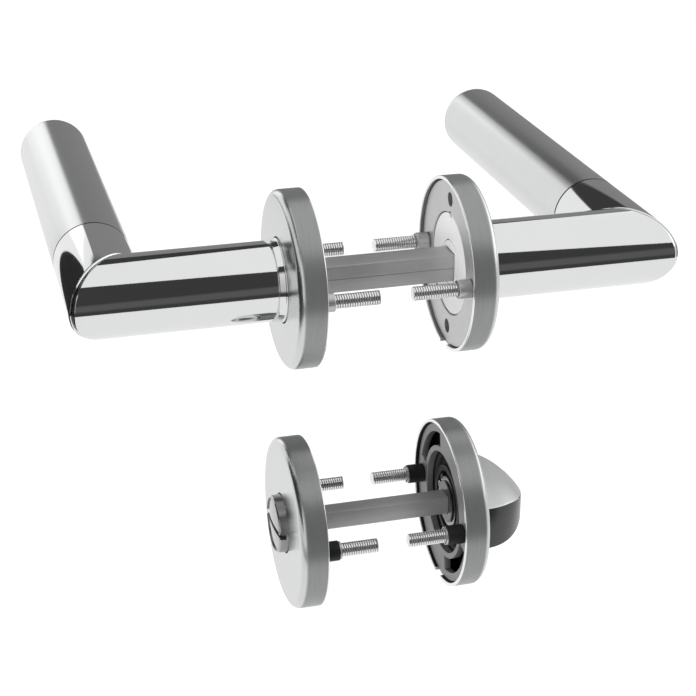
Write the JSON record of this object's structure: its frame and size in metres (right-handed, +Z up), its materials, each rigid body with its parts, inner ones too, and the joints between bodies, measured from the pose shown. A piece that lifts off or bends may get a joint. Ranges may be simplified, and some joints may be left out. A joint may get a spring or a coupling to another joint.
{
  "type": "door lever handle",
  "caption": "Pair of mitred tubular door lever handles on round roses with square spindle, with a matching bathroom thumb turn and coin release.",
  "frame": {"origin": "on the lever spindle's axis, halfway through the door leaf", "axes": "+X along the lever spindle from the outer side of the door to the inner side, +Y from the spindle along the grips at rest, +Z up"},
  "size_m": [0.1772, 0.1661, 0.129],
  "materials": {
    "polished_steel": "mirror polished stainless steel",
    "satin_tube": "fine satin stainless steel, ground round the tube",
    "satin_steel": "satin stainless steel",
    "zinc_plate": "dull zinc plated steel",
    "grey_plate": "dull grey die casting",
    "bright_zinc": "bright zinc plated thread",
    "spring_steel": "dark spring steel",
    "spindle_steel": "drawn steel bar, dull",
    "white_nylon": "white moulded nylon",
    "black_plastic": "black moulded nylon"
  },
  "bodies": {
    "door_fittings": {"inner_bath_mount_plate": "grey_plate", "inner_bath_rose_cover": "satin_steel", "inner_bath_sleeve_back": "black_plastic", "inner_bath_sleeve_front": "black_plastic", "inner_bath_stud_back": "bright_zinc", "inner_bath_stud_front": "bright_zinc", "inner_bearing_bush": "white_nylon", "inner_bearing_cap": "white_nylon", "inner_bearing_cup": "black_plastic", "inner_lever_mount_plate": "zinc_plate", "inner_lever_rose_cover": "satin_steel", "inner_lever_sleeve_back": "zinc_plate", "inner_lever_sleeve_front": "zinc_plate", "inner_lever_stud_back": "bright_zinc", "inner_lever_stud_front": "bright_zinc", "inner_return_spring": "spring_steel", "outer_bath_mount_plate": "grey_plate", "outer_bath_rose_cover": "satin_steel", "outer_bath_sleeve_back": "black_plastic", "outer_bath_sleeve_front": "black_plastic", "outer_bath_stud_back": "bright_zinc", "outer_bath_stud_front": "bright_zinc", "outer_bearing_bush": "white_nylon", "outer_bearing_cap": "white_nylon", "outer_bearing_cup": "black_plastic", "outer_lever_mount_plate": "zinc_plate", "outer_lever_rose_cover": "satin_steel", "outer_lever_sleeve_back": "zinc_plate", "outer_lever_sleeve_front": "zinc_plate", "outer_lever_stud_back": "bright_zinc", "outer_lever_stud_front": "bright_zinc", "outer_return_spring": "spring_steel"},
    "levers": {"inner_drive_insert": "white_nylon", "inner_elbow_collar": "polished_steel", "inner_grip": "satin_tube", "inner_grub_screw": "spring_steel", "inner_lever_circlip": "spring_steel", "inner_mitre_dowel": "spring_steel", "inner_neck": "polished_steel", "lever_spindle": "spindle_steel", "outer_drive_insert": "white_nylon", "outer_elbow_collar": "polished_steel", "outer_grip": "satin_tube", "outer_grub_screw": "spring_steel", "outer_lever_circlip": "spring_steel", "outer_mitre_dowel": "spring_steel", "outer_neck": "polished_steel"},
    "bath_turn": {"bath_spindle": "spindle_steel", "inner_bath_circlip": "spring_steel", "outer_bath_circlip": "spring_steel", "release_dome": "polished_steel", "thumb_turn": "satin_steel"}
  },
  "joints": [
    {"name": "lever_press", "type": "hinge", "parent": "door_fittings", "child": "levers", "pos_m": [0, 0, 0], "axis": [-1, 0, 0], "range_deg": [0, 45], "stiffness_Nm_per_rad": 0.6, "springref_deg": -68.75},
    {"name": "bath_lock", "type": "hinge", "parent": "door_fittings", "child": "bath_turn", "pos_m": [0, 0, -0.078], "axis": [-1, 0, 0], "range_deg": [0, 90]}
  ]
}
